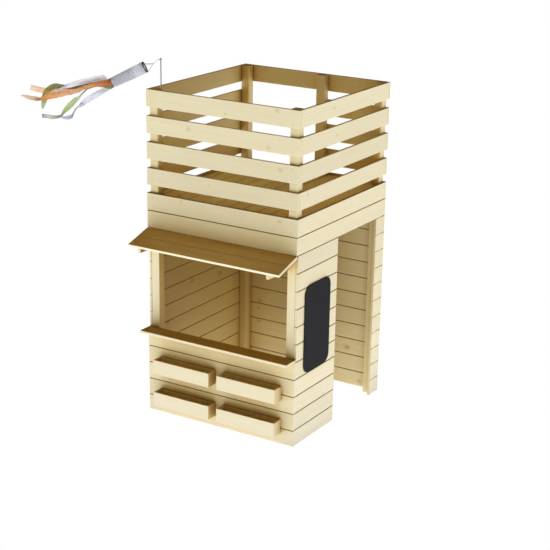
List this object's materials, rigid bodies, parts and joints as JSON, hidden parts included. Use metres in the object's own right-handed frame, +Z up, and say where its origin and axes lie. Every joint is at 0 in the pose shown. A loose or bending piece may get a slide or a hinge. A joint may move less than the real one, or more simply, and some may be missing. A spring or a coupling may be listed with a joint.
{
  "type": "shop playhouse",
  "caption": "Boarded play shop for children with a serving hatch under an awning, an open doorway, display trays, a blackboard and a railed roof deck with a windsock.",
  "frame": {"origin": "centre of the front left post's foot, on the ground", "axes": "+X to the right along the front, +Y from the front to the back, +Z up"},
  "size_m": [1.7518, 2.1104, 2.3483],
  "materials": {
    "pine": "pale planed pine, knots and fine grain",
    "pine_deck": "pine boards with a soft sheen",
    "slate": "matt blackboard paint on a thin panel",
    "steel": "plain drawn rod",
    "dark_plastic": "dark grey, matt",
    "line": "thin braided line",
    "silver_cloth": "thin silver-grey cloth with a sheen",
    "orange_cloth": "thin bright cloth",
    "green_cloth": "thin bright cloth"
  },
  "bodies": {
    "house": {"front_left_post": "pine", "front_right_post": "pine", "back_left_post": "pine", "back_right_post": "pine", "back_middle_post": "pine", "door_post": "pine", "front_counter_boards": "pine", "front_header_boards": "pine", "back_wall_boards": "pine", "left_wall_boards": "pine", "right_wall_boards": "pine", "door_side_boards": "pine", "door_header_boards": "pine", "front_rail_slat_1": "pine", "front_rail_slat_2": "pine", "front_rail_slat_3": "pine", "front_rail_slat_4": "pine", "left_rail_slat_1": "pine", "left_rail_slat_2": "pine", "left_rail_slat_3": "pine", "left_rail_slat_4": "pine", "right_rail_slat_1": "pine", "right_rail_slat_2": "pine", "right_rail_slat_3": "pine", "right_rail_slat_4": "pine", "back_rail_slat_1": "pine", "back_rail_slat_2": "pine", "back_rail_slat_3": "pine", "back_rail_slat_4": "pine", "counter_shelf": "pine", "awning_upper_board": "pine", "awning_lower_board": "pine", "left_awning_bracket": "pine", "right_awning_bracket": "pine", "lower_left_tray": "pine", "lower_right_tray": "pine", "upper_left_tray": "pine", "upper_right_tray": "pine", "ladder_left_stile": "pine", "ladder_right_stile": "pine", "ladder_rung_1": "pine", "ladder_rung_2": "pine", "ladder_rung_3": "pine", "ladder_rung_4": "pine", "rod_holder": "pine", "roof_deck": "pine_deck", "blackboard": "slate", "windsock_rod": "steel"},
    "windsock": {"swivel_cap": "dark_plastic", "bridle": "line", "windsock_hoop": "dark_plastic", "windsock_sleeve": "silver_cloth", "upper_silver_ribbon": "silver_cloth", "lower_silver_ribbon": "silver_cloth", "near_orange_ribbon": "orange_cloth", "far_orange_ribbon": "orange_cloth", "near_green_ribbon": "green_cloth", "far_green_ribbon": "green_cloth"}
  },
  "joints": [
    {"name": "windsock_swivel", "type": "hinge", "parent": "house", "child": "windsock", "pos_m": [0.0477, -0.0123, 2.344], "axis": [0, 0, 1], "range_deg": [-94, 134]}
  ]
}
